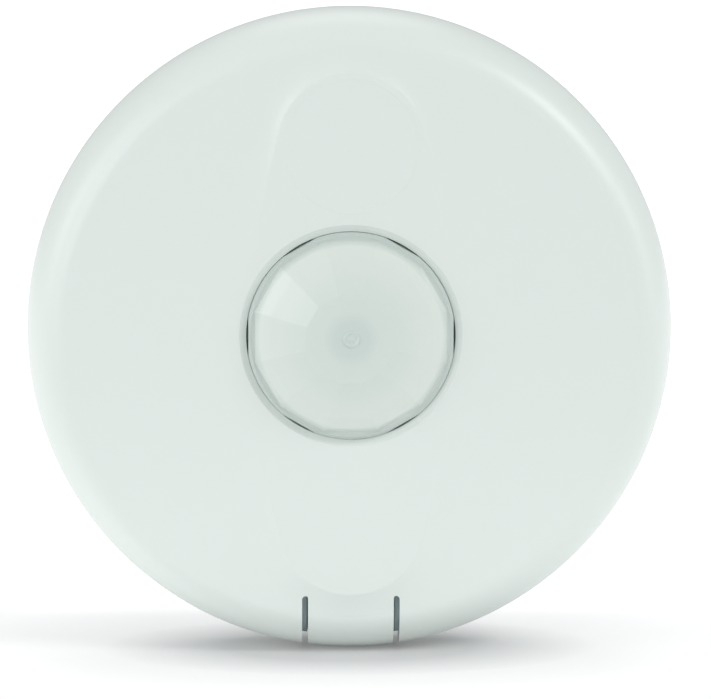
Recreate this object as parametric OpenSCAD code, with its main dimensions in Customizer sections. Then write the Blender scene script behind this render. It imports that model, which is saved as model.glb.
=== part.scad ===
// Round ceiling motion detector: a shallow dished cover with a faceted infrared lens, hinged and
// latched over a base tray that carries the circuit board.
// It stands on edge: the mounting face looks along +Y, the lens along -Y, the hinge is at the top
// and the latch at the bottom. The origin is the centre of the mounting face.
// Each module is drawn lying down, x to the right, y up the face and z out from the ceiling, and
// stand() turns it upright.

/* [Housing] */
// Outer diameter of the cover
cover_d = 120; // [118:1:124]
// Wall thickness of the cover
wall = 1.8; // [1.6:0.1:2]
// Height of the cover's rear rim above the mounting face
rim_z = 9; // [8.5:0.5:10]
// Height of the cover from its rim to the face at the lens
cover_h = 12.9; // [12.5:0.1:13.5]
// Fall of the face from the lens out to the shoulder
face_fall = 1; // [0.8:0.1:1.2]
// Gap all round between the tray and the inside of the cover's skirt
tray_gap = 1.4; // [1.3:0.1:1.6]
// Height of the tray's wall
tray_h = 14; // [13.5:0.5:14.5]

/* [Lens] */
// Radius of the opening in the cover
opening_r = 19.35; // [19.3:0.05:19.6]
// Height of the lens's crown above the face
lens_rise = 5; // [4.5:0.1:5.5]
// Number of facets round the lens
facets = 12; // [12:6:24]

/* [Latch] */
// Distance between the centres of the two relief slots
slot_pitch = 17; // [16:0.5:18]
// Width of each relief slot
slot_w = 1.1; // [1:0.1:1.3]
// Distance from the centre of the face to the inner end of the slots
slot_root = 49.2; // [48.5:0.1:50]

/* [Hinge] */
// Distance of the hinge line above the centre
hinge_y = 54.4; // [54.2:0.1:54.6]
// Height of the hinge line above the mounting face
hinge_z = 12; // [12:0.1:12.2]
// Radius of the hinge pins
hinge_pin_r = 1; // [0.9:0.05:1.05]

/* [Board] */
// Radius of the circuit board
board_r = 38; // [38:0.5:39]
// Thickness of the circuit board
board_t = 1.6; // [1.5:0.1:1.7]
// Height of the board's rear side above the mounting face
board_z = 7; // [6.8:0.1:7.2]
// Distance between the terminal block's screws
terminal_pitch = 5; // [5:0.08:5.08]
// Number of ways in the terminal block
terminals = 6; // [6:1:6]

/* [Mounting] */
// Distance between the two slots for a round ceiling box
box_pitch = 88.9; // [86:0.1:90]
// Side of the square of four screw holes for a flat ceiling
hole_square = 66; // [64:1:67]
// Width of the screw slots and diameter of the screw holes
screw_hole_d = 4.4; // [4:0.1:5]

/* [Hidden] */
$fn = 64;
eps = 0.01;

// Cover
cover_r = cover_d / 2;
face_z = rim_z + cover_h;
shoulder_r = cover_r - 7.5;
shoulder_steps = 10;
skirt_z = rim_z + 0.4;
lip_r = opening_r + 1.05;
lip_drop = 1.1;
seat_r = 24.8;
slot_x = slot_pitch / 2;
pad_r = 13.4;
pad_y = 35;
pad_spread = 19;
pad_depth = 2.2;
thumb_r = 34;
thumb_cut = 0.4;

// Tray
tray_r = cover_r - wall - tray_gap;
tray_wall = 1.6;
tray_floor = 2;
notch_y = 50;
notch_z = 5.2;
latch_half = 5.5;
ear_in = 9.4;
ear_out = 11.4;
ear_r = 2.2;
hinge_gap = 0.06;
cable_y = 43;

// Latch tab
catch_z = rim_z + 0.2;
tab_half = slot_x - slot_w / 2;
tab_gap = 0.15;
leg_y = 54.4;
leg_t = 1.4;

// Lens
lens_r = opening_r - 0.15;
lens_flange_r = 21.6;
lens_flange_z = face_z - wall - 1.2;
lens_t = 0.7;

// Board
board_top = board_z + board_t;
board_screw_r = 33.5;
terminal_y = 30;
terminal_depth = 8;
terminal_h = 9;
jumper_led = [15, -31];
jumper_range = [-12, -31];
cap_h = 3.6;
relay_place = [-19, -13];
tamper_y = -30;

// Places of the soldered pins
sensor_pin_places = [for (a = [90, 210, 330]) [2.54 * cos(a), 2.54 * sin(a)]];
contact_pin_places = [for (i = [1 : terminals]) [terminal_x(i), terminal_y - 1.85]];
jumper_pin_places = [for (j = [jumper_led, jumper_range], side = [-1, 1]) [j[0] + side * 1.27, j[1]]];
tamper_pin_places = [for (x = [-1, 1], y = [-1, 1]) [x * 3.25, tamper_y + y * 2.2]];
relay_pin_places =
    [for (x = [-5.6, -1.6, 1.6, 5.6], y = [-3.4, 3.4]) [relay_place[0] + x, relay_place[1] + y]];

// Turns a piece drawn lying down so that it stands on edge with the lens towards -Y.
module stand() {
    rotate([90, 0, 0])
        children();
}

// Repeats its children at the given places on the board's upper side.
module on_board(places) {
    for (p = places)
        translate([p[0], p[1], board_top])
            children();
}

// Round holes right through, at the given places.
module drill(places, r) {
    for (p = places)
        translate([p[0], p[1], -1])
            cylinder(h = 20, r = r, $fn = 24);
}

// Box centred on x and y, with its underside at z = 0.
module block(size) {
    translate([-size[0] / 2, -size[1] / 2, 0])
        cube(size);
}

// Round bar along x from x = from to x = to, about the point (y, z).
module bar_x(from, to, y, z, r) {
    translate([from, y, z])
        rotate([0, 90, 0])
            cylinder(h = to - from, r = r);
}

// Quarter ellipse from the face down to the skirt, taken in by an inset.
function shoulder(inset) =
    [for (i = [0 : shoulder_steps])
        let (a = 90 * i / shoulder_steps)
        [shoulder_r + (cover_r - shoulder_r - inset) * sin(a),
         skirt_z + (face_z - face_fall - skirt_z - inset) * cos(a)]];

// Half section of the cover's skin, from the axis out to the rim.
module skin_section() {
    polygon(concat(
        [[0, face_z], [lip_r, face_z]],
        shoulder(0),
        [[cover_r, rim_z], [cover_r - wall, rim_z]],
        [for (i = [0 : shoulder_steps]) shoulder(wall)[shoulder_steps - i]],
        [[seat_r, face_z - wall], [0, face_z - wall]]));
}

// Raised pad that stays level while the face falls away, wide at the lens and round at its end.
module pad() {
    translate([0, pad_y, face_z - pad_depth])
        cylinder(h = pad_depth, r1 = pad_r + 3.4, r2 = pad_r);
    translate([0, 0, face_z - pad_depth])
        linear_extrude(pad_depth)
            polygon([[-pad_spread, 13], [pad_spread, 13], [pad_r - 0.1, pad_y + 4], [0.1 - pad_r, pad_y + 4]]);
}

// The whole moulded skin with both pads, before any opening is cut.
module skin() {
    rotate_extrude($fn = 128)
        skin_section();
    for (side = [0, 1])
        mirror([0, side, 0])
            pad();
}

// Everything under the skin, which keeps the pads from hanging down inside.
module inside() {
    rotate_extrude($fn = 128)
        polygon(concat(
            [[0, 0], [cover_r - wall, 0]],
            [for (i = [0 : shoulder_steps]) shoulder(wall)[shoulder_steps - i]],
            [[seat_r, face_z - wall], [0, face_z - wall]]));
}

// Strip of the face that holds the latch tab and its relief slots, out past the rim.
module latch_strip(half, root) {
    translate([-half, -cover_r - 1, rim_z - 1])
        cube([2 * half, cover_r + 1 - root, cover_h + 2]);
}

// Hook under the face that holds the lens retainer.
module retainer_hook() {
    translate([22.9, -2.5, lens_flange_z - 2.9])
        cube([1.4, 5, 4.6]);
    translate([21.7, -2.5, lens_flange_z - 2.9])
        cube([1.3, 5, 1.2]);
}

// One cheek of the hinge with its pin, on the +X side.
module hinge_cheek() {
    bar_x(ear_out + 0.4, ear_out + 2.2, hinge_y, hinge_z, 2);
    translate([ear_out + 0.4, hinge_y, hinge_z - 2])
        cube([1.8, 2.9, 4]);
    bar_x(ear_in - 0.2, ear_out + 0.5, hinge_y, hinge_z, hinge_pin_r);
}

module cover() {
    color([0.88, 0.914, 0.894]) stand() {
        difference() {
            skin();
            inside();
            translate([0, 0, face_z - wall - 1])
                cylinder(h = wall + 2, r = opening_r);
            translate([0, 0, face_z - lip_drop])
                cylinder(h = lip_drop + eps, r1 = opening_r, r2 = lip_r + eps);
            latch_strip(tab_half + slot_w, slot_root);
            for (side = [-1, 1])
                translate([side * slot_x, -slot_root, rim_z])
                    cylinder(h = cover_h + 1, r = slot_w / 2);
        }
        // Rib that holds the tamper plunger down while the cover is shut
        translate([-1, -33, tamper_top + 0.1])
            cube([2, 6, face_z - wall - tamper_top + 0.3]);
    }
}

// The two cheeks under the cover's upper edge, each with the pin it swings on.
module hinge_pins() {
    color([0.88, 0.914, 0.894]) stand()
        intersection() {
            for (side = [0, 1])
                mirror([side, 0, 0])
                    hinge_cheek();
            inside();
        }
}

module retainer_hooks() {
    color([0.88, 0.914, 0.894]) stand()
        intersection() {
            for (k = [0 : 5])
                rotate([0, 0, 60 * k + 30])
                    retainer_hook();
            inside();
        }
}

// Flexing tongue between the two slots, with a leg inside the tray's wall and a hook on its end.
module latch_tab() {
    color([0.87, 0.906, 0.887]) stand() {
        difference() {
            intersection() {
                skin();
                latch_strip(tab_half, slot_root + tab_gap);
            }
            inside();
            translate([0, -cover_r - thumb_r + thumb_cut, rim_z - 1])
                cylinder(h = cover_h, r = thumb_r);
        }
        translate([-5, -leg_y, catch_z + 0.2])
            cube([10, leg_t, face_z - face_fall - wall - catch_z - 0.4]);
        translate([-4, -leg_y - 1.4, catch_z + 0.5])
            cube([8, 1.6, 1.8]);
    }
}

// Ear of the tray that carries one hinge pin, on the +X side.
module hinge_ear() {
    bar_x(ear_in, ear_out, hinge_y, hinge_z, ear_r);
    translate([ear_in, notch_y - 1, hinge_z - ear_r])
        cube([ear_out - ear_in, hinge_y - notch_y + 1, 2 * ear_r]);
}

// Corner-to-corner pairs of the board's screws and of its locating pegs.
module at_diagonal(angles) {
    for (a = angles)
        rotate([0, 0, a])
            translate([board_screw_r, 0, 0])
                children();
}

// Slot with round ends, along x, through the floor.
module floor_slot(length, width) {
    for (side = [-1, 1])
        translate([side * (length - width) / 2, 0, -1])
            cylinder(h = tray_floor + 2, d = width);
    translate([-(length - width) / 2, -width / 2, -1])
        cube([length - width, width, tray_floor + 2]);
}

// Floor of the tray with its posts, its pegs and the guard round the cable hole.
module base_tray() {
    color([0.85, 0.88, 0.86]) stand()
        difference() {
            union() {
                cylinder(h = tray_floor, r = tray_r, $fn = 128);
                // Posts under the board, two drilled for screws and two with locating pegs
                at_diagonal([45, 135, 225, 315])
                    translate([0, 0, tray_floor - eps])
                        cylinder(h = board_z - tray_floor + eps, r = 3);
                at_diagonal([135, 315])
                    cylinder(h = board_top + 0.8, r = 1.4);
                // Guard round the cable hole
                translate([0, cable_y, tray_floor - eps])
                    difference() {
                        cylinder(h = 2, r = 5.4);
                        cylinder(h = 3, r = 4.4);
                    }
                // Ribs that stiffen the floor
                for (side = [-1, 1])
                    translate([side * 16 - 0.6, -44, tray_floor - eps])
                        cube([1.2, 60, 1.2]);
            }
            // Self-tapping screw holes in two posts
            at_diagonal([45, 225])
                translate([0, 0, tray_floor + 0.8])
                    cylinder(h = board_z, r = 1.1);
            // Fixings and cable entry
            for (side = [-1, 1])
                translate([side * box_pitch / 2, 0, 0])
                    floor_slot(9, screw_hole_d);
            for (x = [-1, 1], y = [-1, 1])
                translate([x * hole_square / 2, y * hole_square / 2, -1])
                    cylinder(h = tray_floor + 2, d = screw_hole_d);
            translate([0, cable_y, -1])
                cylinder(h = tray_floor + 2, r = 4.4);
            // Channel in the mounting face, for a cable that comes in from the edge
            translate([-3.5, cable_y, -1])
                cube([7, 20, 2.2]);
            // Hollows that keep the mounting face from rocking
            for (side = [0, 1])
                mirror([0, side, 0])
                    translate([-24, 7, -1])
                        cube([48, 18, 1.8]);
        }
}

// Wall of the tray, straight behind the hinge, with the two ears that the cover's pins turn in.
module tray_wall() {
    color([0.85, 0.88, 0.86]) stand() {
        difference() {
            union() {
                translate([0, 0, tray_floor])
                    difference() {
                        cylinder(h = tray_h - tray_floor, r = tray_r, $fn = 128);
                        translate([0, 0, -1])
                            cylinder(h = tray_h, r = tray_r - tray_wall, $fn = 128);
                    }
                intersection() {
                    cylinder(h = tray_h, r = tray_r - 0.4, $fn = 128);
                    union() {
                        translate([-40, notch_y - tray_wall, tray_floor])
                            cube([80, tray_wall, tray_h]);
                        translate([-40, notch_y - tray_wall, notch_z - tray_wall])
                            cube([80, 20, tray_wall]);
                    }
                }
            }
            // Clear space for the cover's skirt as it swings
            translate([-40, notch_y, notch_z])
                cube([80, 20, tray_h]);
            // Gap that the latch keeper fills, above and below the hook
            translate([-latch_half, -tray_r - 1, 0])
                cube([2 * latch_half, 4, tray_h + 1]);
            // Break-out for a cable run on the surface of the ceiling
            translate([-tray_r - 1, -22, 2.6])
                cube([1.8, 9, 5]);
        }
        for (side = [0, 1])
            mirror([side, 0, 0])
                difference() {
                    hinge_ear();
                    bar_x(ear_in - 1, ear_out + 1, hinge_y, hinge_z, hinge_pin_r + hinge_gap);
                }
    }
}

// Piece of the tray's wall between two heights that fills the gap at the latch.
module wall_piece(from, to, thickness) {
    difference() {
        intersection() {
            cylinder(h = to, r = tray_r, $fn = 128);
            translate([-latch_half, -tray_r - 1, from])
                cube([2 * latch_half, 4, to]);
        }
        cylinder(h = to + 1, r = tray_r - thickness, $fn = 128);
    }
}

// Sill under the latch's hook, and the thin bar that the hook catches under.
module latch_keeper() {
    color([0.85, 0.88, 0.86]) stand() {
        wall_piece(tray_floor, catch_z, tray_wall);
        wall_piece(catch_z + 3, tray_h, 0.7);
    }
}

// Soft grommet that closes the cable hole and grips the cable.
module cable_grommet() {
    color([0.25, 0.26, 0.27]) stand()
        translate([0, cable_y, 0])
            difference() {
                union() {
                    translate([0, 0, 0.3])
                        cylinder(h = 3.4, r = 4.3);
                    translate([0, 0, 4.1])
                        cylinder(h = 1.2, r = 5.3);
                    translate([0, 0, 3.6])
                        cylinder(h = 0.6, r = 4.3);
                }
                translate([0, 0, -1])
                    cylinder(h = 8, r = 2.6);
            }
}

module circuit_board() {
    color([0.13, 0.38, 0.2]) stand()
        difference() {
            translate([0, 0, board_z + 0.05])
                cylinder(h = board_t - 0.05, r = board_r, $fn = 128);
            // Straight edge towards the cable hole
            translate([-board_r, 35.6, 0])
                cube([2 * board_r, 10, 20]);
            at_diagonal([45, 225])
                cylinder(h = 20, r = 1.5);
            at_diagonal([135, 315])
                cylinder(h = 20, r = 1.55);
            // Holes for every soldered pin
            drill(sensor_pin_places, 0.32);
            drill(contact_pin_places, 0.55);
            drill(jumper_pin_places, 0.5);
            drill(tamper_pin_places, 0.45);
            drill(relay_pin_places, 0.38);
        }
}

module board_screws() {
    color([0.7, 0.71, 0.72]) stand()
        at_diagonal([45, 225])
            difference() {
                union() {
                    translate([0, 0, tray_floor + 1])
                        cylinder(h = board_top - tray_floor - 1 + 0.1, r = 1);
                    translate([0, 0, board_top + 0.05])
                        cylinder(h = 0.9, r = 2.6);
                    translate([0, 0, board_top + 0.9])
                        cylinder(h = 0.9, r1 = 2.6, r2 = 1.4);
                }
                for (a = [0, 90])
                    rotate([0, 0, a])
                        translate([-1.7, -0.3, board_top + 0.8])
                            cube([3.4, 0.6, 2]);
            }
}

// Ring that spaces the sensor off the board and keeps it square.
module sensor_holder() {
    color([0.9, 0.9, 0.87]) stand()
        translate([0, 0, board_top + 0.02])
            difference() {
                cylinder(h = 2, r = 5.4);
                for (a = [90, 210, 330])
                    rotate([0, 0, a])
                        translate([2.54, 0, -1])
                            cylinder(h = 4, r = 0.4);
                translate([0, 0, 1.2])
                    cylinder(h = 1, r = 4.7);
                // Notch for the can's tab
                rotate([0, 0, 45])
                    translate([4, -0.55, 1.2])
                        cube([2, 1.1, 2]);
            }
}

module sensor_can() {
    color([0.78, 0.79, 0.8]) stand()
        translate([0, 0, board_top + 1.25])
            difference() {
                union() {
                    cylinder(h = 0.5, r = 4.6);
                    cylinder(h = 4.2, r = 4.1);
                    rotate([0, 0, 45])
                        translate([4.2, -0.4, 0])
                            cube([1, 0.8, 0.4]);
                }
                translate([-2, -1.5, 3.7])
                    cube([4, 3, 2]);
            }
}

module sensor_window() {
    color([0.24, 0.22, 0.26]) stand()
        translate([-1.95, -1.45, board_top + 5])
            cube([3.9, 2.9, 0.4]);
}

module sensor_pins() {
    color([0.8, 0.7, 0.4]) stand()
        for (p = sensor_pin_places)
            translate([p[0], p[1], board_z - 1.4])
                cylinder(h = board_t + 2.6, r = 0.24);
}

// Collar that keeps draughts and insects away from the sensor.
module insect_guard() {
    color([0.92, 0.93, 0.92]) stand()
        translate([0, 0, board_top + 0.02])
            difference() {
                union() {
                    cylinder(h = 1, r = 9.4);
                    cylinder(h = 3.4, r1 = 8.4, r2 = 7.4);
                }
                translate([0, 0, -1])
                    cylinder(h = 5, r = 6.4);
            }
}

function terminal_x(i) = terminal_pitch * (i - (terminals + 1) / 2);

module terminal_block() {
    color([0.12, 0.36, 0.3]) stand()
        translate([0, terminal_y, board_top + 0.02])
            difference() {
                block([terminals * terminal_pitch + 0.6, terminal_depth, terminal_h]);
                // Sloping front over the wire entries
                translate([-terminals * terminal_pitch / 2 - 1, terminal_depth / 2, 4.9])
                    rotate([32, 0, 0])
                        cube([terminals * terminal_pitch + 2, 3, 8]);
                for (i = [1 : terminals])
                    translate([terminal_x(i), 0, 0]) {
                        translate([0, 0.6, 5.2])
                            cylinder(h = 8, r = 1.9);
                        // Wire entry and the well that the clamp runs in
                        translate([-1.7, -2.3, 0.8])
                            cube([3.4, 8, 5]);
                        // Hole for the contact's pin
                        translate([0, -1.85, -1])
                            cylinder(h = 3, r = 0.5);
                    }
            }
}

// Fixed contact blades under the wires, with their solder pins through the board.
module terminal_contacts() {
    color([0.8, 0.8, 0.78]) stand()
        for (i = [1 : terminals])
            translate([terminal_x(i), terminal_y, board_top]) {
                translate([-1.1, -1.6, 3.55])
                    cube([2.2, 4.4, 0.5]);
                translate([-1.1, -2.1, 1.3])
                    cube([2.2, 0.5, 2.75]);
                translate([0, -1.85, -board_t - 1.4])
                    cylinder(h = board_t + 3, r = 0.45);
            }
}

// Slotted clamp screw, which turns without rising.
module terminal_screw(i) {
    color([0.75, 0.76, 0.77]) stand()
        translate([terminal_x(i), terminal_y + 0.6, board_top]) {
            difference() {
                translate([0, 0, 6.1])
                    cylinder(h = 1.6, r = 1.6);
                translate([-2, -0.25, 6.9])
                    cube([4, 0.5, 2]);
            }
            translate([0, 0, 4.4])
                cylinder(h = 1.8, r = 1);
        }
}

// Cage that the screw draws up to grip the wire against its contact blade.
module wire_clamp(i) {
    color([0.82, 0.74, 0.5]) stand()
        translate([terminal_x(i), terminal_y + 0.6, board_top + 0.9]) {
            translate([-1.6, -0.9, 0])
                cube([3.2, 2.6, 0.45]);
            for (side = [0, 1])
                mirror([side, 0, 0])
                    translate([1.25, -0.9, 0])
                        cube([0.35, 2.6, 2.3]);
        }
}

module relay() {
    color([0.93, 0.9, 0.8]) stand()
        translate([relay_place[0], relay_place[1], board_top + 0.15])
            difference() {
                block([14, 9, 5]);
                translate([-7.1, -1, 4.3])
                    cube([0.9, 2, 2]);
            }
}

module relay_pins() {
    color([0.8, 0.8, 0.78]) stand()
        for (p = relay_pin_places)
            translate([p[0], p[1], board_z - 1.1])
                cylinder(h = board_t + 1.2, r = 0.3);
}

// Place on the board, radius and height of each electrolytic capacitor
capacitor_places = [[-27.5, 6, 3.15, 7.4], [-20, 12.5, 2.5, 5.4], [29, -5.5, 2.5, 7.4]];

module electrolytic_capacitors() {
    color([0.8, 0.81, 0.82]) stand()
        for (c = capacitor_places)
            translate([c[0], c[1], board_top + 0.3])
                difference() {
                    cylinder(h = c[3], r = c[2] - 0.12);
                    for (a = [0, 90])
                        rotate([0, 0, a])
                            translate([-c[2] * 0.7, -0.12, c[3] - 0.2])
                                cube([c[2] * 1.4, 0.24, 1]);
                }
}

module capacitor_sleeves() {
    color([0.12, 0.14, 0.22]) stand()
        for (c = capacitor_places)
            translate([c[0], c[1], board_top + 0.1])
                difference() {
                    cylinder(h = c[3] + 0.1, r = c[2]);
                    translate([0, 0, -1])
                        cylinder(h = c[3] + 3, r = c[2] - 0.12 + eps);
                }
}

module microcontroller() {
    color([0.1, 0.1, 0.11]) stand()
        translate([20, 7.5, board_top + 0.25])
            difference() {
                block([7.6, 12.8, 2.3]);
                translate([-2.8, 5, 2.2])
                    cylinder(h = 1, r = 0.6);
            }
}

module microcontroller_leads() {
    color([0.78, 0.78, 0.78]) stand()
        translate([20, 7.5, board_top + 0.02])
            for (side = [0, 1], k = [0 : 8])
                mirror([side, 0, 0])
                    translate([3.8, (k - 4) * 1.27 - 0.2, 0]) {
                        translate([0, 0, 1.1])
                            cube([0.75, 0.4, 0.2]);
                        translate([0.55, 0, 0])
                            cube([0.2, 0.4, 1.3]);
                        translate([0.55, 0, 0])
                            cube([0.8, 0.4, 0.2]);
                    }
}

resistor_places = [
    [12, 14], [12, 17], [12, 20], [-8, 18], [-11, 18], [-14, 18], [31, 12], [31, 15],
    [-30, -4], [-33, -4], [12, -20], [8, -20], [15, -26], [10, -26], [-13, -26], [-8, -24]];

module chip_resistors() {
    color([0.08, 0.08, 0.09]) stand()
        on_board(resistor_places)
            translate([0, 0, 0.03])
                block([1.25, 2, 0.55]);
}

ceramic_places = [[29, 8], [29, 5], [-12, 13.5], [-8, 13.5], [-21, 20], [20, -19], [-17, -23], [0, 17]];

module chip_capacitors() {
    color([0.72, 0.62, 0.48]) stand()
        on_board(ceramic_places)
            translate([0, 0, 0.03])
                block([1.25, 2, 0.8]);
}

module resonator() {
    color([0.82, 0.82, 0.8]) stand()
        translate([28, 0.5, board_top + 0.1]) {
            for (x = [0, 4])
                translate([x, 0, 0])
                    cylinder(h = 3.4, r = 1.8);
            translate([0, -1.8, 0])
                cube([4, 3.6, 3.4]);
        }
}

module surge_varistor() {
    color([0.15, 0.3, 0.55]) stand()
        translate([-28.5, 15.5, board_top + 4.6])
            rotate([90, 0, 30])
                translate([0, 0, -1.4])
                    cylinder(h = 2.8, r = 3.7);
}

// Dome-topped indicator that shines out through the lens.
module walk_test_led() {
    color([0.85, 0.25, 0.2]) stand()
        translate([0, -13, board_top + 0.1]) {
            cylinder(h = 1, r = 1.9);
            cylinder(h = 3.8, r = 1.5);
            translate([0, 0, 3.8])
                sphere(r = 1.5);
        }
}

module trimmer_body() {
    color([0.16, 0.32, 0.6]) stand()
        translate([28, -14, board_top + 0.05])
            difference() {
                block([7, 7, 4]);
                translate([0, 0, 2.2])
                    cylinder(h = 3, r = 2.75);
            }
}

module trimmer_rotor() {
    color([0.95, 0.94, 0.9]) stand()
        translate([28, -14, board_top + 2.3])
            difference() {
                cylinder(h = 2, r = 2.7);
                translate([-2, -0.3, 1.1])
                    cube([4, 0.6, 2]);
                translate([-0.3, -0.6, 1.1])
                    cube([0.6, 2.6, 2]);
            }
}

module jumper_header(place) {
    color([0.1, 0.1, 0.1]) stand()
        translate([place[0], place[1], board_top + 0.02])
            difference() {
                block([5.08, 2.5, 2.5]);
                for (side = [-1, 1])
                    translate([side * 1.27, 0, -1])
                        block([0.7, 0.7, 6]);
            }
}

module jumper_pins() {
    color([0.85, 0.72, 0.35]) stand()
        for (p = jumper_pin_places)
            translate([p[0], p[1], board_z - 1.2])
                block([0.64, 0.64, board_t + 6.5]);
}

// Pull-off cap that joins the two pins of a header.
module jumper_cap(place, shade) {
    color(shade) stand()
        translate([place[0], place[1], board_top + 2.6])
            difference() {
                block([5, 2.4, cap_h]);
                for (side = [-1, 1])
                    translate([side * 1.27, 0, -1])
                        block([0.9, 0.9, cap_h + 0.5]);
                translate([-3, -0.2, cap_h - 0.6])
                    cube([6, 0.4, 1]);
            }
}

// Height of the plunger's tip with the cover shut
tamper_top = 17.4;

module tamper_switch() {
    color([0.15, 0.15, 0.16]) stand()
        translate([0, tamper_y, board_top + 0.05])
            difference() {
                union() {
                    block([6, 6, 3.2]);
                    cylinder(h = 4.4, r = 2.2);
                }
                translate([0, 0, 1.4])
                    cylinder(h = 5, r = 1.25);
            }
}

module tamper_terminals() {
    color([0.78, 0.78, 0.76]) stand()
        for (p = tamper_pin_places)
            translate([p[0], p[1], board_z - 1.2])
                block([0.3, 0.7, board_t + 2.6]);
}

module tamper_plunger() {
    color([0.88, 0.3, 0.22]) stand()
        translate([0, tamper_y, 0]) {
            translate([0, 0, board_top + 3.2])
                cylinder(h = tamper_top - board_top - 3.2, r = 1.2);
            translate([0, 0, tamper_top - 1.4])
                cylinder(h = 1.4, r = 2.6);
        }
}

spring_turns = 4;
spring_r = 2;
spring_wire = 0.2;
spring_low = board_top + 4.7;
spring_high = tamper_top - 1.65;
spring_steps = 16;
spring_sides = 8;

// Point on the spring's wire: k counts rings along the coil and s counts sides round the wire.
function coil_point(k, s) =
    let (a = 360 * k / spring_steps, b = 360 * s / spring_sides)
    [(spring_r + spring_wire * cos(b)) * cos(a),
     (spring_r + spring_wire * cos(b)) * sin(a),
     spring_low + (spring_high - spring_low) * k / (spring_turns * spring_steps)
         + spring_wire * sin(b)];

module tamper_spring() {
    rings = spring_turns * spring_steps;
    color([0.75, 0.76, 0.78]) stand()
        translate([0, tamper_y, 0])
            polyhedron(
                points = [for (k = [0 : rings], s = [0 : spring_sides - 1]) coil_point(k, s)],
                faces = concat(
                    [[for (s = [0 : spring_sides - 1]) s]],
                    [for (k = [0 : rings - 1], s = [0 : spring_sides - 1])
                        let (n = (s + 1) % spring_sides, a = k * spring_sides)
                        [a + s, a + spring_sides + s, a + spring_sides + n, a + n]],
                    [[for (s = [0 : spring_sides - 1]) (rings + 1) * spring_sides - 1 - s]]));
}

// Radius and height above the face of each edge of the lens's facets, from its foot to its crown.
lens_rings = [[17.7, 2.1], [15.5, 3.3], [8.4, 4.5], [4.5, 4.85]];

// Faceted dome, taken in by an inset.
module lens_dome(inset) {
    base_ring = [lens_r - 0.9, 1.1];
    all = concat([base_ring], lens_rings);
    rotate([0, 0, 180 / facets])
        for (i = [0 : len(all) - 2])
            translate([0, 0, face_z + (all[i][1] - inset) * lens_rise / 5])
                cylinder(
                    h = (all[i + 1][1] - all[i][1]) * lens_rise / 5 + eps,
                    r1 = all[i][0] - inset,
                    r2 = all[i + 1][0] - inset,
                    $fn = facets);
}

module lens() {
    color([0.8, 0.85, 0.84]) stand() {
        difference() {
            union() {
                translate([0, 0, lens_flange_z])
                    cylinder(h = face_z + 1.1 - lens_flange_z, r = lens_r - 0.7, $fn = 96);
                translate([0, 0, lens_flange_z])
                    cylinder(h = face_z - 0.2 - lens_flange_z, r = lens_r, $fn = 96);
                translate([0, 0, face_z - 0.2])
                    cylinder(h = 0.9, r1 = lens_r, r2 = lens_r - 0.5, $fn = 96);
                lens_dome(0);
            }
            translate([0, 0, lens_flange_z - 1])
                cylinder(h = face_z + 1.1 - lens_flange_z, r = lens_r - 1.6, $fn = 96);
            lens_dome(lens_t);
            for (k = [0 : 5])
                rotate([0, 0, 60 * k])
                    translate([lens_r - 0.32, -10, lens_flange_z + 1])
                        cube([5, 20, 10]);
        }
        difference() {
            translate([0, 0, lens_flange_z])
                cylinder(h = 0.9, r = lens_flange_r, $fn = 96);
            translate([0, 0, lens_flange_z - 1])
                cylinder(h = 4, r = lens_r - 1.6, $fn = 96);
        }
        translate([0, 0, face_z + lens_rise - 0.6])
            cylinder(h = 0.8, r = 1.5);
    }
}

module lens_retainer() {
    color([0.9, 0.92, 0.91]) stand()
        translate([0, 0, lens_flange_z - 1.4])
            difference() {
                cylinder(h = 1.2, r = 22.6, $fn = 96);
                translate([0, 0, -1])
                    cylinder(h = 4, r = lens_r - 1.6, $fn = 96);
                for (k = [0 : 5])
                    rotate([0, 0, 60 * k])
                        translate([21.8, -1.5, -1])
                            cube([3, 3, 4]);
            }
}

// Foam ring in the cover that presses round the insect guard's flange.
module cover_seal() {
    color([0.3, 0.31, 0.33]) stand()
        translate([0, 0, lens_flange_z - 3.6])
            difference() {
                cylinder(h = 2, r = 21.4, $fn = 96);
                translate([0, 0, -1])
                    cylinder(h = 4, r = 18.4, $fn = 96);
            }
}

base_tray();
tray_wall();
latch_keeper();
cable_grommet();
circuit_board();
board_screws();
sensor_holder();
sensor_can();
sensor_window();
sensor_pins();
insect_guard();
terminal_block();
terminal_contacts();
for (i = [1 : terminals]) {
    terminal_screw(i);
    wire_clamp(i);
}
relay();
relay_pins();
electrolytic_capacitors();
capacitor_sleeves();
microcontroller();
microcontroller_leads();
chip_resistors();
chip_capacitors();
resonator();
surge_varistor();
walk_test_led();
trimmer_body();
trimmer_rotor();
jumper_header(jumper_led);  // jumper_header_led
jumper_cap(jumper_led, [0.75, 0.12, 0.1]);  // jumper_cap_led
jumper_header(jumper_range);  // jumper_header_range
jumper_cap(jumper_range, [0.1, 0.1, 0.1]);  // jumper_cap_range
jumper_pins();
tamper_switch();
tamper_terminals();
tamper_plunger();
tamper_spring();
cover();
hinge_pins();
retainer_hooks();
latch_tab();
lens();
lens_retainer();
cover_seal();
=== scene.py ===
"""Round ceiling motion detector standing on its edge, lens towards the viewer and latch at the bottom."""

import math

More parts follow.
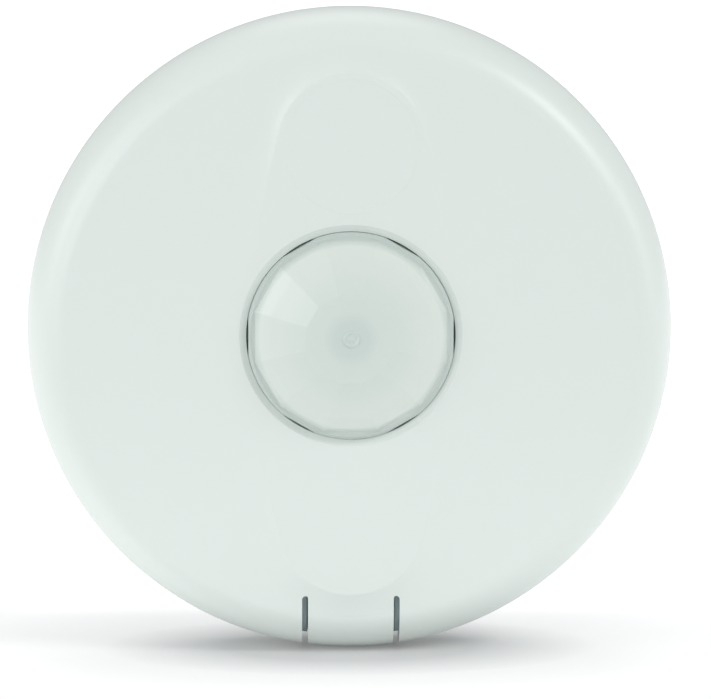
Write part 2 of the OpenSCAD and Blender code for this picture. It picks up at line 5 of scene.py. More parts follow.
import bmesh
import bpy
import numpy as np
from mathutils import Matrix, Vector


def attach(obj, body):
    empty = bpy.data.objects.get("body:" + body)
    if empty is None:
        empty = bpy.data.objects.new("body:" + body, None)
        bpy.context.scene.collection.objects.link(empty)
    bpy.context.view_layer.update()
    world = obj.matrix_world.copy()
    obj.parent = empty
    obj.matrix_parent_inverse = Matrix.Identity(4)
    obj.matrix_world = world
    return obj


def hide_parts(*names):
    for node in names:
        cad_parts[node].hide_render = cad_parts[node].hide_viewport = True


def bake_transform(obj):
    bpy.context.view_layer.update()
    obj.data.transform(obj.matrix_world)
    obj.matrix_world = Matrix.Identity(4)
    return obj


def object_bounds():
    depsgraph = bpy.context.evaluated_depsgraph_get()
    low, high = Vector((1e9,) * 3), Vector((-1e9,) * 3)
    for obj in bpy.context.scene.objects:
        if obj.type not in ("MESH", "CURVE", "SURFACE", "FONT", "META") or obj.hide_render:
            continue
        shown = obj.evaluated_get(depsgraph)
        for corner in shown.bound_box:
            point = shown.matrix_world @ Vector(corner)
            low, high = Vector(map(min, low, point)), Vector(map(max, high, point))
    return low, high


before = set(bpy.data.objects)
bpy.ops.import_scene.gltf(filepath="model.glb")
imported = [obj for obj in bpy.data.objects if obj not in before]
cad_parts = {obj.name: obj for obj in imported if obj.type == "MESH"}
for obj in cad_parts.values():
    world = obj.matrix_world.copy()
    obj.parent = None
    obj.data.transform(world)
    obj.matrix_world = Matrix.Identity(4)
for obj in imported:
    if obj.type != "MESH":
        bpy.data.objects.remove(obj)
cad_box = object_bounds()

# Camera. It stands 0.9 m in front of the detector, a little above it and a hair to the left, and
# looks at a point just beside the middle of the cover's rim. The view there is 133 mm wide.
DISTANCE = 0.9
SIDEWAYS = math.radians(-1.3)
ABOVE = math.radians(7.5)
AIM = Vector((0.00112, -0.009, -0.00418))
VIEW_WIDTH = 0.1327
SENSOR = 36.0

back = Vector(
    (
        math.sin(SIDEWAYS) * math.cos(ABOVE),
        -math.cos(SIDEWAYS) * math.cos(ABOVE),
        math.sin(ABOVE),
    )
)
camera_data = bpy.data.cameras.new("camera")
camera_data.sensor_width = SENSOR
camera_data.lens = SENSOR * DISTANCE / VIEW_WIDTH
camera = bpy.data.objects.new("camera", camera_data)
camera.location = AIM + back * DISTANCE
camera.rotation_euler = back.to_track_quat("Z", "Y").to_euler()
bpy.context.scene.collection.objects.link(camera)
bpy.context.scene.camera = camera

# Studio. A wide grey table that glows, as painted light that also lights the cover's lower rim: dimly in a
# long oval patch under the detector, which is its painted shadow, more round that patch, and more so
# further back, so that it runs on into white, with soft panels to the left, the right and overhead.
ROOM_WHITE = (0.97, 0.985, 1, 1)
ROOM_LIGHT = 0.43
TABLE_WHITE = (0.60, 0.603, 0.607, 1)
TABLE_REACH = 6.0
PANEL_DISTANCE = 1.5
PAINTED_SHADOW_MIDDLE = (0, -0.012, cad_box[0][2])
PAINTED_SHADOW_HALF = (0.055, 0.034, 1)
GLOW_ROUND_PAINTED_SHADOW = [(0.42, 0.10), (0.85, 0.41), (1.5, 0.54), (3.0, 0.20)]
FAR_GLOW = [(0.02, 0.0), (0.06, 0.4), (1.0, 0.85)]

scene = bpy.context.scene
scene.view_settings.view_transform = "Standard"
scene.world = bpy.data.worlds.new("studio")
scene.world.use_nodes = True
room = scene.world.node_tree.nodes["Background"]
room.inputs["Color"].default_value = ROOM_WHITE
room.inputs["Strength"].default_value = ROOM_LIGHT


def new_material(name):
    """An empty material, with its nodes and its links to be filled in."""
    material = bpy.data.materials.new(name)
    material.use_nodes = True
    material.node_tree.nodes.clear()
    return material, material.node_tree.nodes, material.node_tree.links


def disc(name, radius, level, sides=96, rings=24):
    """Flat round sheet: rings at radius * (k / rings) squared, each with points at equal angles."""
    turn = np.linspace(0, 2 * np.pi, sides, endpoint=False)
    reach = radius * (np.arange(1, rings + 1) / rings) ** 2
    x = reach[:, None] * np.cos(turn)
    y = reach[:, None] * np.sin(turn)
    points = np.stack([x, y, np.full_like(x, level)], -1).reshape(-1, 3)
    k, s = np.meshgrid(np.arange(rings - 1), np.arange(sides), indexing="ij")
    a = k * sides + s
    b = k * sides + (s + 1) % sides
    quads = np.stack([a, a + sides, b + sides, b], -1).reshape(-1, 4)
    mesh = bpy.data.meshes.new(name)
    mesh.from_pydata(points.tolist(), [], [list(range(sides))] + quads.tolist())
    thing = bpy.data.objects.new(name, mesh)
    bpy.context.scene.collection.objects.link(thing)
    return thing


def glow_ramp(nodes, links, stops):
    """Ramp from a distance to a strength, through the given stops, and the socket to feed it by."""
    share = nodes.new("ShaderNodeMath")
    share.operation = "DIVIDE"
    share.inputs[1].default_value = stops[-1][0]
    ramp = nodes.new("ShaderNodeValToRGB")
    elements = ramp.color_ramp.elements
    elements[0].position = stops[0][0] / stops[-1][0]
    for reach, _ in stops[1:-1]:
        elements.new(reach / stops[-1][0])
    for element, (_, strength) in zip(elements, stops):
        element.color = (strength, strength, strength, 1)
    links.new(share.outputs["Value"], ramp.inputs["Fac"])
    return share.inputs[0], ramp.outputs["Color"]


floor = disc("floor", TABLE_REACH, cad_box[0][2])
floor_glow_painted_shadow, nodes, links = new_material("floor_glow_painted_shadow")
place = nodes.new("ShaderNodeTexCoord")
centred = nodes.new("ShaderNodeVectorMath")
centred.operation = "SUBTRACT"
centred.inputs[1].default_value = PAINTED_SHADOW_MIDDLE
squeezed = nodes.new("ShaderNodeVectorMath")
squeezed.operation = "DIVIDE"
squeezed.inputs[1].default_value = PAINTED_SHADOW_HALF
# Distance from the middle of the oval of painted shadow, in its half-widths: the table glows least there
from_painted_shadow = nodes.new("ShaderNodeVectorMath")
from_painted_shadow.operation = "LENGTH"
split = nodes.new("ShaderNodeSeparateXYZ")
glow = nodes.new("ShaderNodeMath")
glow.operation = "ADD"
near_in, near_out = glow_ramp(nodes, links, GLOW_ROUND_PAINTED_SHADOW)
far_in, far_out = glow_ramp(nodes, links, FAR_GLOW)
links.new(place.outputs["Object"], centred.inputs[0])
links.new(centred.outputs["Vector"], squeezed.inputs[0])
links.new(squeezed.outputs["Vector"], from_painted_shadow.inputs[0])
links.new(from_painted_shadow.outputs["Value"], near_in)
links.new(place.outputs["Object"], split.inputs["Vector"])
links.new(split.outputs["Y"], far_in)
links.new(near_out, glow.inputs[0])
links.new(far_out, glow.inputs[1])
skin = nodes.new("ShaderNodeBsdfDiffuse")
skin.inputs["Color"].default_value = TABLE_WHITE
shine = nodes.new("ShaderNodeEmission")
both = nodes.new("ShaderNodeAddShader")
out = nodes.new("ShaderNodeOutputMaterial")
links.new(glow.outputs["Value"], shine.inputs["Strength"])
links.new(skin.outputs["BSDF"], both.inputs[0])
links.new(shine.outputs["Emission"], both.inputs[1])
links.new(both.outputs["Shader"], out.inputs["Surface"])
floor.data.materials.append(floor_glow_painted_shadow)


def soft_panel(name, off_axis, turn, size, watts):
    """Square area light, size metres wide, that faces the detector from the given angle off the lens's
    axis, and from the given angle round it, counted anticlockwise from the right, both in degrees."""
    off, round_it = math.radians(off_axis), math.radians(turn)
    towards = Vector(
        (
            math.sin(off) * math.cos(round_it),
            -math.cos(off),
            math.sin(off) * math.sin(round_it),
        )
    )
    data = bpy.data.lights.new(name, "AREA")
    data.shape = "SQUARE"
    data.size = size
    data.energy = watts
    panel = bpy.data.objects.new(name, data)
    panel.location = towards * PANEL_DISTANCE
    panel.rotation_euler = towards.to_track_quat("Z", "Y").to_euler()
    bpy.context.scene.collection.objects.link(panel)


soft_panel("key_left", 38, 155, 0.6, 3.1)
soft_panel("fill_left", 50, 178, 0.6, 2.0)
soft_panel("rim_left", 65, 150, 0.6, 2.4)
soft_panel("key_right", 65, 40, 0.6, 7.2)
soft_panel("side_left", 80, 165, 0.6, 3.4)
soft_panel("side_right", 80, 15, 0.6, 2.4)
soft_panel("overhead", 118, 90, 0.9, 3.3)

# Cover. One dished moulding in satin white plastic, 1.8 mm thick, with a raised pad above and below
# the lens, a bevelled round opening, and two relief slots that leave the latch tab free between them.
MM = 0.001
WALL = 1.8
RIM = 9.0
FACE = 21.9
FACE_FALL = 1.0
COVER_R = 60.0
SHOULDER_R = 52.5
SKIRT = 9.4
OPENING_R = 19.25
LIP_R = 20.4
LIP_DROP = 0.6
LIP_EASE = 0.15
SEAT_R = 24.8
PAD_Y = 35.0
PAD_R = 13.4
PAD_SPLAY = math.radians(13.3)
PAD_FILLET = 5.5
FILLET_SPREAD = 1.5
UPPER_POWER = 3.6
LOWER_POWER = 2.2
SLOT_ROOT = 49.2
SLOT_IN = 7.95
SLOT_OUT = 9.05
RIM_ROUND = 0.3
INNER_RIM_ROUND = 0.15
NEAR_LATCH = 0.5
ROOT_SHARE = 0.9
ROW_GAP = 0.02
TAB_COLUMNS = 28
SLOT_COLUMNS = 8
REST_COLUMNS = 276


def stand(x, y, z):
    """Stands points upright, in metres, that are drawn lying down in millimetres: x to the right,
    y up the face and z out from the ceiling."""
    x, y, z = np.broadcast_arrays(x, y, z)
    return np.stack([x, -z, y], -1) * MM


def pad_distance(x, y):
    """How far a point lies outside a pad's level top: |x| cos t + (|y| - 35) sin t - 13.4 beside it,
    with t the splay of its sides, and the distance to its round end beyond them."""
    across = np.abs(x)
    along = np.abs(y) - PAD_Y
    beside = across * math.cos(PAD_SPLAY) + along * math.sin(PAD_SPLAY) - PAD_R
    past_end = np.hypot(across, along) - PAD_R
    in_round = along * math.cos(PAD_SPLAY) > across * math.sin(PAD_SPLAY)
    return np.where(in_round, past_end, beside)


def falling_face(r):
    """Height of the face without its pads: level at the lip, 1 mm lower at the shoulder."""
    return FACE - FACE_FALL * np.clip((r - LIP_R) / (SHOULDER_R - LIP_R), 0, 1)


def fillet_width(y):
    """Width of the hollow fillet round a pad: 5.5 mm at its round end, up to 2.5 times that beside
    the lens, so that the pad's sides fade away there."""
    return PAD_FILLET * (1 + FILLET_SPREAD * np.clip(1 - np.abs(y) / PAD_Y, 0, 1))


def face_height(x, y):
    """The falling face, lifted to the lip's level on a pad. Outside a pad the lift dies away as a
    power of what is left of the fillet's width, more gently round the lower pad."""
    fall = falling_face(np.hypot(x, y))
    left = np.clip(1 - np.maximum(pad_distance(x, y), 0) / fillet_width(y), 0, 1)
    return fall + (FACE - fall) * left ** np.where(y > 0, UPPER_POWER, LOWER_POWER)


def inner_face(r):
    """Height of the inside of the face: level under the lens's flange, then parallel to the outside."""
    return FACE - WALL - FACE_FALL * np.clip((r - SEAT_R) / (SHOULDER_R - SEAT_R), 0, 1)


def shoulder_r(turn, depth):
    """Distance from the centre to the rounded shoulder, at the angle turn round its quarter ellipse and
    the given depth inside its outer surface."""
    return SHOULDER_R + (COVER_R - SHOULDER_R - depth) * np.sin(turn)


def shoulder_h(turn, depth):
    """Height of the same point of the shoulder above the mounting face."""
    return SKIRT + (FACE - FACE_FALL - SKIRT - depth) * np.cos(turn)


def ray_to_edge(turn, rise):
    """Distance along each ray from the centre at which rise(x, y) first passes zero, by halving."""
    near = np.full_like(turn, LIP_R)
    far = np.full_like(turn, SHOULDER_R)
    for _ in range(40):
        middle = (near + far) / 2
        past = rise(middle * np.sin(turn), -middle * np.cos(turn)) > 0
        far = np.where(past, middle, far)
        near = np.where(past, near, middle)
    return (near + far) / 2


# Each column of the cover's grid is a ray from the centre, and its angle is counted from the latch.
# Past the slots' roots the rays bend so that some of them run along the slots' straight edges.
tab_share = np.linspace(-1, 1, TAB_COLUMNS, endpoint=False)
slot_share = np.linspace(0, 1, SLOT_COLUMNS, endpoint=False)
rest_share = np.linspace(0, 1, REST_COLUMNS, endpoint=False)


def ray_angles(r):
    """Angle of every ray at the distances r, which has one column for each ray."""
    root_in = math.hypot(SLOT_IN, SLOT_ROOT)
    root_out = math.hypot(SLOT_OUT, SLOT_ROOT)
    inner = np.arcsin(SLOT_IN / np.maximum(r, root_in))
    outer = np.arcsin(SLOT_OUT / np.maximum(r, root_out))
    a = TAB_COLUMNS
    b = a + SLOT_COLUMNS
    c = b + REST_COLUMNS
    turn = np.empty_like(r)
    turn[:, :a] = tab_share * inner[:, :a]
    turn[:, a:b] = inner[:, a:b] + slot_share * (outer - inner)[:, a:b]
    turn[:, b:c] = outer[:, b:c] + rest_share * (2 * np.pi - 2 * outer[:, b:c])
    turn[:, c:] = 2 * np.pi - outer[:, c:] + slot_share * (outer - inner)[:, c:]
    return turn


def spread(low, high, shares):
    """Rows between two rings, at the given shares of the way from one to the other."""
    return low + (high - low) * np.asarray(shares)[:, None]


columns = TAB_COLUMNS + 2 * SLOT_COLUMNS + REST_COLUMNS
rays = ray_angles(np.full((1, columns), LIP_R))[0]
pad_edge = ray_to_edge(rays, pad_distance)
pad_foot = ray_to_edge(rays, lambda x, y: pad_distance(x, y) - fillet_width(y))
pad_foot = np.clip(pad_foot, pad_edge + ROW_GAP, SHOULDER_R - ROW_GAP)

# The ring that passes through the roots of both slots, hollowed out where a slot has its round end.
# It is straight within 60 degrees of the latch, and stays inside the pad's fillet.
slot_half = (SLOT_OUT - SLOT_IN) / 2
ray_x = SLOT_ROOT * np.tan(np.where(np.cos(rays) > NEAR_LATCH, rays, 0))
from_slot = np.abs(np.abs(ray_x) - (SLOT_IN + SLOT_OUT) / 2)
round_end = np.sqrt(np.clip(slot_half**2 - from_slot**2, 0, None))
root_ring = (SLOT_ROOT - round_end) / np.maximum(np.cos(rays), NEAR_LATCH)
root_ring = np.minimum(root_ring, pad_edge + ROOT_SHARE * (pad_foot - pad_edge))

# The rows, from the opening outwards: the bevelled lip, the pads, their fillets, the face, the shoulder
# and the rim
lip_rows = np.array([OPENING_R, OPENING_R + 0.08, LIP_R - 0.2])
lip_heights = np.array([FACE - LIP_DROP - 0.05, FACE - LIP_DROP + 0.1, FACE - 0.2])
to_pad = spread(LIP_R + LIP_EASE, pad_edge, [0, 0.04, 0.12, 0.25, 0.4, 0.55, 0.7, 0.85, 0.94, 0.985])
to_root = spread(pad_edge, root_ring, [0, 0.05, 0.1, 0.17, 0.27, 0.42, 0.65])
to_foot = spread(root_ring, pad_foot, [0, 0.25, 0.5, 0.75])
to_shoulder = spread(pad_foot, SHOULDER_R, [0, 0.1, 0.25, 0.4, 0.55, 0.7, 0.85, 0.95])
face_rows = np.concatenate([to_pad, to_root, to_foot, to_shoulder])
ROOT_ROW = len(lip_rows) + len(to_pad) + len(to_root)
shoulder_turn = np.radians(np.concatenate([np.linspace(0, 8, 4), np.linspace(12, 90, 16)]))
shoulder_rows = shoulder_r(shoulder_turn, 0)
rim_turn = np.radians([0, 30, 60, 90])
rim_rows = COVER_R - RIM_ROUND * (1 - np.cos(rim_turn))
rim_heights = RIM + RIM_ROUND * (1 - np.sin(rim_turn))

ring = np.concatenate(
    [
        np.repeat(lip_rows[:, None], columns, 1),
        face_rows,
        np.repeat(shoulder_rows[:, None], columns, 1),
        np.repeat(rim_rows[:, None], columns, 1),
    ]
)
angle = ray_angles(ring)
flat_x = ring * np.sin(angle)
flat_y = -ring * np.cos(angle)
height = face_height(flat_x, flat_y)
height[: len(lip_rows)] = lip_heights[:, None]
first_shoulder = len(lip_rows) + len(face_rows)
last_shoulder = first_shoulder + len(shoulder_rows)
height[first_shoulder:last_shoulder] = shoulder_h(shoulder_turn, 0)[:, None]
height[last_shoulder:] = rim_heights[:, None]

under = np.minimum(ring, SHOULDER_R)
under_height = inner_face(ring)
under[first_shoulder:last_shoulder] = shoulder_r(shoulder_turn, WALL)[:, None]
under_height[first_shoulder:last_shoulder] = shoulder_h(shoulder_turn, WALL)[:, None]
under[last_shoulder:] = (COVER_R - WALL + INNER_RIM_ROUND * (1 - np.cos(rim_turn)))[:, None]
under_height[last_shoulder:] = (RIM + INNER_RIM_ROUND * (1 - np.sin(rim_turn)))[:, None]
under_angle = ray_angles(under)

outside = stand(flat_x, flat_y, height)
inside = stand(under * np.sin(under_angle), -under * np.cos(under_angle), under_height)

DOUBLED = 2e-6


def surface(name, points, faces, crease=28):
    """Mesh object from points and faces, with doubled and unused points taken out, smooth except
    where two faces meet at more than the crease angle."""
    used, corners = np.unique(faces, return_inverse=True)
    mesh = bpy.data.meshes.new(name)
    mesh.from_pydata(points[used].tolist(), [], corners.reshape(-1, 4).tolist())
    clean = bmesh.new()
    clean.from_mesh(mesh)
    bmesh.ops.remove_doubles(clean, verts=clean.verts, dist=DOUBLED)
    clean.to_mesh(mesh)
    clean.free()
    mesh.validate()
    mesh.polygons.foreach_set("use_smooth", np.ones(len(mesh.polygons), bool))
    mesh.set_sharp_from_angle(angle=math.radians(crease))
    thing = bpy.data.objects.new(name, mesh)
    bpy.context.scene.collection.objects.link(thing)
    return thing


def shell(name, outer, inner, keep, open_centre=True):
    """Closed skin between two grids of points with the same rows and columns, whose columns wrap
    round. keep says which cells are solid: each has a face outside and one inside, and every edge
    between a solid cell and an empty one gets a wall from one grid to the other. Where the centre
    isn't open, all the first row's points are one, and it needs no wall."""
    rows, cols = outer.shape[:2]
    number = np.arange(rows * cols).reshape(rows, cols)
    after = np.roll(number, -1, 1)
    a, b, c, d = number[:-1], after[:-1], after[1:], number[1:]
    step = rows * cols
    front = np.stack([a, d, c, b], -1)[keep]
    behind = np.stack([a, b, c, d], -1)[keep] + step
    padded = np.zeros((rows + 1, cols), bool)
    padded[1:-1] = keep
    starts = padded[1:] & ~padded[:-1]
    if not open_centre:
        starts[0] = False
    ends = padded[:-1] & ~padded[1:]
    ring_wall = np.stack([number, after, after + step, number + step], -1)
    left = keep & ~np.roll(keep, 1, 1)
    right = np.roll(keep, 1, 1) & ~keep
    side_wall = np.stack([a, a + step, d + step, d], -1)
    faces = np.concatenate(
        [
            front,
            behind,
            ring_wall[starts],
            ring_wall[ends][:, ::-1],
            side_wall[left],
            side_wall[right][:, ::-1],
        ]
    )
    points = np.concatenate([outer.reshape(-1, 3), inner.reshape(-1, 3)])
    return surface(name, points, faces)


beyond_root = np.arange(ring.shape[0] - 1)[:, None] >= ROOT_ROW
column = np.arange(columns)
is_tab = column < TAB_COLUMNS
is_slot = (~is_tab & (column < TAB_COLUMNS + SLOT_COLUMNS)) | (column >= columns - SLOT_COLUMNS)
cover_cells = ~(beyond_root & (is_tab | is_slot))

GRAIN_DEPTH = 0.00003
GLOSS_SPREAD = 0.03


def moulded(name, colour, roughness, grain=0.35, grain_size=1400, coat=0.0):
    """Moulded plastic: a fine spark-eroded grain as bump, and slow patches of slightly different gloss."""
    material, nodes, links = new_material(name)
    shader = nodes.new("ShaderNodeBsdfPrincipled")
    shader.inputs["Base Color"].default_value = (*colour, 1)
    shader.inputs["IOR"].default_value = 1.49
    shader.inputs["Coat Weight"].default_value = coat
    shader.inputs["Coat Roughness"].default_value = 0.25
    where = nodes.new("ShaderNodeTexCoord")
    fine = nodes.new("ShaderNodeTexNoise")
    fine.inputs["Scale"].default_value = grain_size
    fine.inputs["Detail"].default_value = 2
    slow = nodes.new("ShaderNodeTexNoise")
    slow.inputs["Scale"].default_value = 35
    slow.inputs["Detail"].default_value = 3
    gloss = nodes.new("ShaderNodeMapRange")
    gloss.inputs["From Min"].default_value = 0.3
    gloss.inputs["From Max"].default_value = 0.7
    gloss.inputs["To Min"].default_value = roughness - GLOSS_SPREAD
    gloss.inputs["To Max"].default_value = roughness + GLOSS_SPREAD
    bump = nodes.new("ShaderNodeBump")
    bump.inputs["Strength"].default_value = grain
    bump.inputs["Distance"].default_value = GRAIN_DEPTH
    where.name, fine.name, bump.name = "place", "grain", "grain_bump"
    out = nodes.new("ShaderNodeOutputMaterial")
    links.new(where.outputs["Object"], fine.inputs["Vector"])
    links.new(where.outputs["Object"], slow.inputs["Vector"])
    links.new(slow.outputs["Fac"], gloss.inputs["Value"])
    links.new(gloss.outputs["Result"], shader.inputs["Roughness"])
    links.new(fine.outputs["Fac"], bump.inputs["Height"])
    links.new(bump.outputs["Normal"], shader.inputs["Normal"])
    links.new(shader.outputs["BSDF"], out.inputs["Surface"])
    return material


cover_plastic = moulded("cover_plastic", (0.765, 0.826, 0.788), 0.37)

# Faint circle on the upper pad, left by the round insert of the mould. Its height is counted in
# depths of the plastic's grain.
WITNESS_R = 12.3
WITNESS_HALF = 0.22
WITNESS_HEIGHT = 2.8
nodes, links = cover_plastic.node_tree.nodes, cover_plastic.node_tree.links
from_pad = nodes.new("ShaderNodeVectorMath")
from_pad.operation = "SUBTRACT"
from_pad.inputs[1].default_value = (0, 0, PAD_Y * MM)
facing = nodes.new("ShaderNodeVectorMath")
facing.operation = "MULTIPLY"
facing.inputs[1].default_value = (1, 0, 1)
reach = nodes.new("ShaderNodeVectorMath")
reach.operation = "LENGTH"
off_ring = nodes.new("ShaderNodeMath")
off_ring.operation = "SUBTRACT"
off_ring.inputs[1].default_value = WITNESS_R * MM
unsigned = nodes.new("ShaderNodeMath")
unsigned.operation = "ABSOLUTE"
ridge = nodes.new("ShaderNodeMapRange")
ridge.inputs["From Max"].default_value = WITNESS_HALF * MM
ridge.inputs["To Min"].default_value = WITNESS_HEIGHT
ridge.inputs["To Max"].default_value = 0
relief = nodes.new("ShaderNodeMath")
relief.operation = "ADD"
links.new(nodes["place"].outputs["Object"], from_pad.inputs[0])
links.new(from_pad.outputs["Vector"], facing.inputs[0])
links.new(facing.outputs["Vector"], reach.inputs[0])
links.new(reach.outputs["Value"], off_ring.inputs[0])
links.new(off_ring.outputs["Value"], unsigned.inputs[0])
links.new(unsigned.outputs["Value"], ridge.inputs["Value"])
links.new(ridge.outputs["Result"], relief.inputs[0])
links.new(nodes["grain"].outputs["Fac"], relief.inputs[1])
links.new(relief.outputs["Value"], nodes["grain_bump"].inputs["Height"])

cover = shell("cover_shell", outside, inside, cover_cells)
cover.data.materials.append(cover_plastic)
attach(cover, "cover")
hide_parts("cover")

# Rib under the cover that holds the tamper plunger down, and the moulded bits that stay as they are:
# six hooks round the lens and the two cheeks with the hinge pins.
TAMPER_TOP = 17.4
TAMPER_Y = -30.0
RIB_HALF = 1.0
RIB_REACH = 3.0
RIB_GAP = 0.1
BLOCK_EDGE = 0.2


def rounded_block(low, high, edge, steps=3):
    """Box with rounded edges: at each direction over a sphere, the nearest corner of a smaller box
    plus the edge radius along that direction. Each quarter turn has its own columns."""
    low, high = np.array(low, float), np.array(high, float)
    centre, half = (low + high) / 2, (high - low) / 2 - edge
    quarter = np.linspace(0, np.pi / 2, steps + 1)
    around = np.concatenate([quarter + k * np.pi / 2 for k in range(4)])
    corner_x = np.repeat([1, -1, -1, 1], steps + 1)
    corner_y = np.repeat([1, 1, -1, -1], steps + 1)
    up = np.concatenate([quarter - np.pi / 2, quarter])
    corner_z = np.repeat([-1, 1], steps + 1)
    u, v = np.meshgrid(up, around, indexing="ij")
    x = centre[0] + half[0] * corner_x[None] + edge * np.cos(u) * np.cos(v)
    y = centre[1] + half[1] * corner_y[None] + edge * np.cos(u) * np.sin(v)
    z = centre[2] + half[2] * corner_z[:, None] + edge * np.sin(u)
    rows, cols = x.shape
    number = np.arange(rows * cols).reshape(rows, cols)
    after = np.roll(number, -1, 1)
    sides = np.stack([number[:-1], after[:-1], after[1:], number[1:]], -1).reshape(-1, 4)
    corners = np.arange(0, cols, steps + 1)
    caps = np.array([number[0, corners][::-1], number[-1, corners]])
    return stand(x, y, z).reshape(-1, 3), np.concatenate([sides, caps])


def blocks(name, sizes, edge):
    """Several rounded boxes as one piece, each given by its low and high corner."""
    points, faces = [], []
    count = 0
    for low, high in sizes:
        some_points, some_faces = rounded_block(low, high, edge)
        points.append(some_points)
        faces.append(some_faces + count)
        count += len(some_points)
    return surface(name, np.concatenate(points), np.concatenate(faces), crease=40)


rib_low = (-RIB_HALF, TAMPER_Y - RIB_REACH, TAMPER_TOP + RIB_GAP)
rib_high = (RIB_HALF, TAMPER_Y + RIB_REACH, FACE - WALL)
rib = blocks("tamper_rib", [(rib_low, rib_high)], BLOCK_EDGE)
rib.data.materials.append(cover_plastic)
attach(rib, "cover")


def dress(name, material, edge=0.0):
    """Gives a CAD node its material and, where edge is more than 0, joins its triangles and takes
    the sharpness off its edges by that many millimetres."""
    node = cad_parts[name]
    node.data.materials.clear()
    node.data.materials.append(material)
    if edge > 0:
        weld = node.modifiers.new("join", "WELD")
        weld.merge_threshold = 1e-6
        bevel = node.modifiers.new("edges", "BEVEL")
        bevel.width = edge * MM
        bevel.segments = 2
        bevel.limit_method = "ANGLE"
        bevel.angle_limit = math.radians(35)
        bevel.harden_normals = True


dress("retainer_hooks", cover_plastic, 0.15)
dress("hinge_pins", cover_plastic, 0.1)

# Latch tab. The tongue between the slots is the same moulding and carries on the cover's curve; its
# end is hollowed for a thumb, and a leg with a hook reaches down inside the tray's wall.
THUMB_R = 34.0
THUMB_CUT = 0.4
TONGUE_END_WALL = 0.8
LEG_Y = -54.4
LEG_HALF = 5.0
LEG_THICK = 1.4
LEG_END = 9.2
HOOK_HALF = 4.0
HOOK_REACH = 1.4
HOOK_LOW = LEG_END + 0.5
HOOK_HIGH = LEG_END + 2.3

tab_plastic = moulded("tab_plastic", (0.76, 0.823, 0.785), 0.37)
tab_cells = beyond_root & is_tab


def thumb_hollow(points):
    """Lifts points to the arc y = sqrt(R^2 - x^2) - R - 59.6, where they lie below it: a thumb of
    the radius R, pressed 0.4 mm into the rim from below."""
    x = points[..., 0] / MM
    arc = -COVER_R - THUMB_R + THUMB_CUT + np.sqrt(np.clip(THUMB_R**2 - x**2, 0, None))
    hollowed = points.copy()
    hollowed[..., 2] = np.maximum(points[..., 2], arc * MM)
    return hollowed


# The tongue thins towards its end, so that it can be pressed in without meeting the tray
thinned = WALL - (WALL - TONGUE_END_WALL) * shoulder_turn / shoulder_turn[-1]
tongue_under = under.copy()
tongue_under[first_shoulder:last_shoulder] = shoulder_r(shoulder_turn, thinned)[:, None]
tongue_under[last_shoulder:] += WALL - TONGUE_END_WALL
tongue_angle = ray_angles(tongue_under)
tongue_inside = stand(
    tongue_under * np.sin(tongue_angle), -tongue_under * np.cos(tongue_angle), under_height
)
tab = shell("latch_tongue", thumb_hollow(outside), thumb_hollow(tongue_inside), tab_cells)
tab.data.materials.append(tab_plastic)
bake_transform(tab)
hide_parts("latch_tab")

catch = blocks(
    "latch_hook",
    [
        ((-LEG_HALF, LEG_Y, LEG_END + 0.2), (LEG_HALF, LEG_Y + LEG_THICK, FACE - FACE_FALL - WALL)),
        ((-HOOK_HALF, LEG_Y - HOOK_REACH, HOOK_LOW), (HOOK_HALF, LEG_Y + 0.2, HOOK_HIGH)),
    ],
    BLOCK_EDGE,
)
catch.data.materials.append(tab_plastic)
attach(catch, "latch_tab")

# Slot shade strips. Two strips of grey sheet glued to the cover behind the relief slots, which paint the
# shade seen through the slots; no such part is known to be there. They end above the tray's wall.
SHADE_STRIP_TOP_GAP = 0.05
SHADE_STRIP_THICK = 0.35
SHADE_STRIP_END = 14.6
SHADE_STRIP_START = 0.8
SHADE_STRIP_OVERLAP = 0.4
SHADE_STRIP_CLEAR = 0.12
SHADE_STRIP_COLUMNS = 4
SHADE_STRIP_FACE_ROWS = 5

shade_strip_turn = shoulder_turn[shoulder_h(shoulder_turn, WALL) > SHADE_STRIP_END]
shade_strip_face_r = np.linspace(SLOT_ROOT - SHADE_STRIP_START, SHOULDER_R, SHADE_STRIP_FACE_ROWS + 1)[:-1]
shade_strip_r = np.concatenate([shade_strip_face_r, shoulder_r(shade_strip_turn, WALL)])
shade_strip_h = np.concatenate([inner_face(shade_strip_face_r), shoulder_h(shade_strip_turn, WALL)])
shade_strip_x = np.linspace(SLOT_IN + SHADE_STRIP_CLEAR, SLOT_OUT + SHADE_STRIP_OVERLAP, SHADE_STRIP_COLUMNS)
shade_strip_points, shade_strip_faces = [], []
for side in (-1, 1):
    x, r = np.meshgrid(side * shade_strip_x[::side], shade_strip_r - SHADE_STRIP_TOP_GAP)
    y = -np.sqrt(r**2 - x**2)
    z = np.repeat(shade_strip_h[:, None] - SHADE_STRIP_TOP_GAP, len(shade_strip_x), 1)
    number = np.arange(x.size).reshape(x.shape) + len(shade_strip_points) * x.size
    a, b, c, d = number[:-1, :-1], number[1:, :-1], number[1:, 1:], number[:-1, 1:]
    shade_strip_points.append(stand(x, y, z).reshape(-1, 3))
    shade_strip_faces.append(np.stack([a, b, c, d], -1).reshape(-1, 4))
shade_strips = surface("slot_shade_strips", np.concatenate(shade_strip_points), np.concatenate(shade_strip_faces))
thickness = shade_strips.modifiers.new("thickness", "SOLIDIFY")
thickness.thickness = SHADE_STRIP_THICK * MM
thickness.offset = -1
# Painted shade: the strips' grey stands for the shade inside the slots
shade_strips.data.materials.append(moulded("painted_shade_grey", (0.42, 0.49, 0.52), 0.8, grain=0.8, grain_size=700))
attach(shade_strips, "cover")

